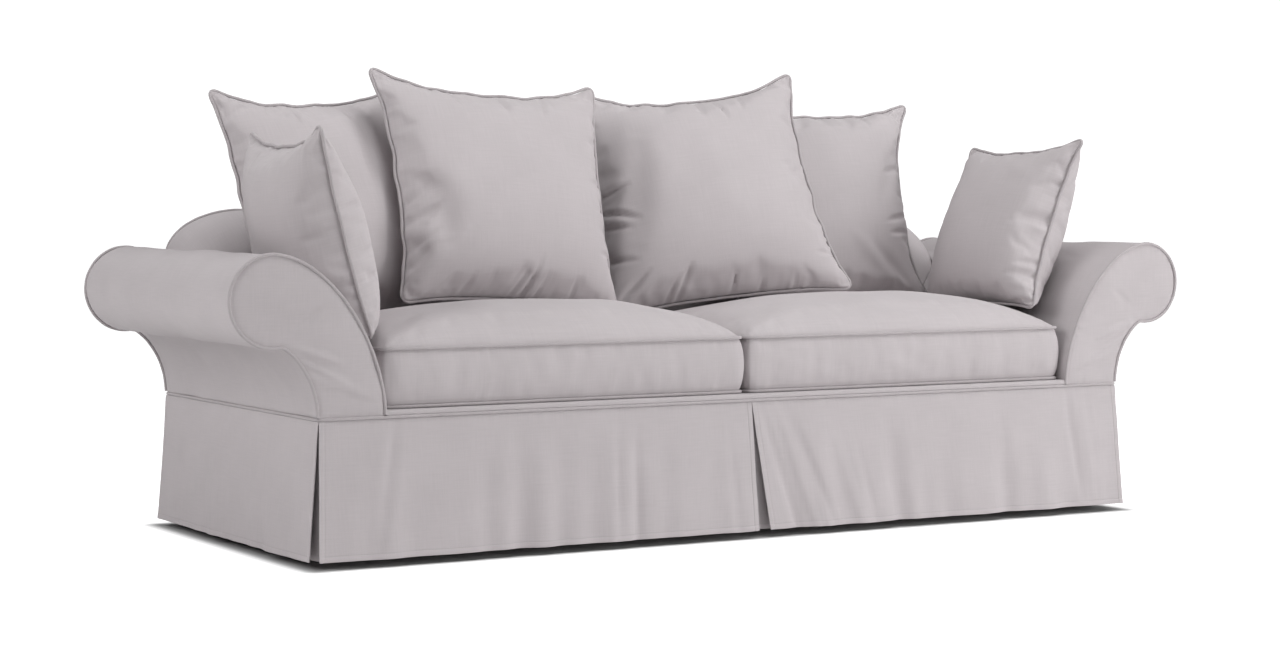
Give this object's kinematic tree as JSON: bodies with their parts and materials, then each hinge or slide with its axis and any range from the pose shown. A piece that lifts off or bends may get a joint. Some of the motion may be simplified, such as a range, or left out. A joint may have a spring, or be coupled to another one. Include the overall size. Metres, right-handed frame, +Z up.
{
  "type": "sofa slipcover",
  "caption": "Hollow fitted sofa cover with rolled arms, welted seams and a pleated floor-length skirt, with its covered seat, back and throw cushions.",
  "frame": {"origin": "floor level under the middle of the cover", "axes": "+X to the right as seen from the front, +Y from the front to the back, +Z up"},
  "size_m": [2.4396, 0.9074, 1.03],
  "materials": {
    "cover_cloth": "smooth plain weave, matt",
    "skirt_cloth": "smooth plain weave, matt",
    "seat_cloth": "smooth plain weave, matt",
    "back_cloth": "smooth plain weave, matt",
    "throw_cloth": "smooth plain weave, matt",
    "welt_cloth": "smooth plain weave over cord, matt"
  },
  "bodies": {
    "root": {"inside_back": "cover_cloth", "outside_back": "cover_cloth", "inside_arm_left": "cover_cloth", "inside_arm_right": "cover_cloth", "outside_arm_left": "cover_cloth", "outside_arm_right": "cover_cloth", "arm_front_left": "cover_cloth", "arm_front_right": "cover_cloth", "deck": "cover_cloth", "front_band": "cover_cloth", "skirt_front_left": "skirt_cloth", "skirt_front_right": "skirt_cloth", "skirt_side_left": "skirt_cloth", "skirt_side_right": "skirt_cloth", "skirt_back": "skirt_cloth", "pleat_backing_front_left": "skirt_cloth", "pleat_backing_front_right": "skirt_cloth", "pleat_backing_back_left": "skirt_cloth", "pleat_backing_back_right": "skirt_cloth", "pleat_backing_centre": "skirt_cloth", "seat_cushion_left": "seat_cloth", "seat_cushion_right": "seat_cloth", "back_cushion_far_left": "back_cloth", "back_cushion_front_left": "back_cloth", "back_cushion_front_right": "back_cloth", "back_cushion_far_right": "back_cloth", "throw_cushion_left": "throw_cloth", "throw_cushion_right": "throw_cloth", "welt_arm_left": "welt_cloth", "welt_arm_right": "welt_cloth", "welt_back": "welt_cloth", "welt_skirt": "welt_cloth", "welt_seat_left_top": "welt_cloth", "welt_seat_left_bottom": "welt_cloth", "welt_seat_right_top": "welt_cloth", "welt_seat_right_bottom": "welt_cloth", "welt_back_cushion_far_left": "welt_cloth", "welt_back_cushion_front_left": "welt_cloth", "welt_back_cushion_front_right": "welt_cloth", "welt_back_cushion_far_right": "welt_cloth", "welt_throw_cushion_left": "welt_cloth", "welt_throw_cushion_right": "welt_cloth"}
  },
  "joints": []
}
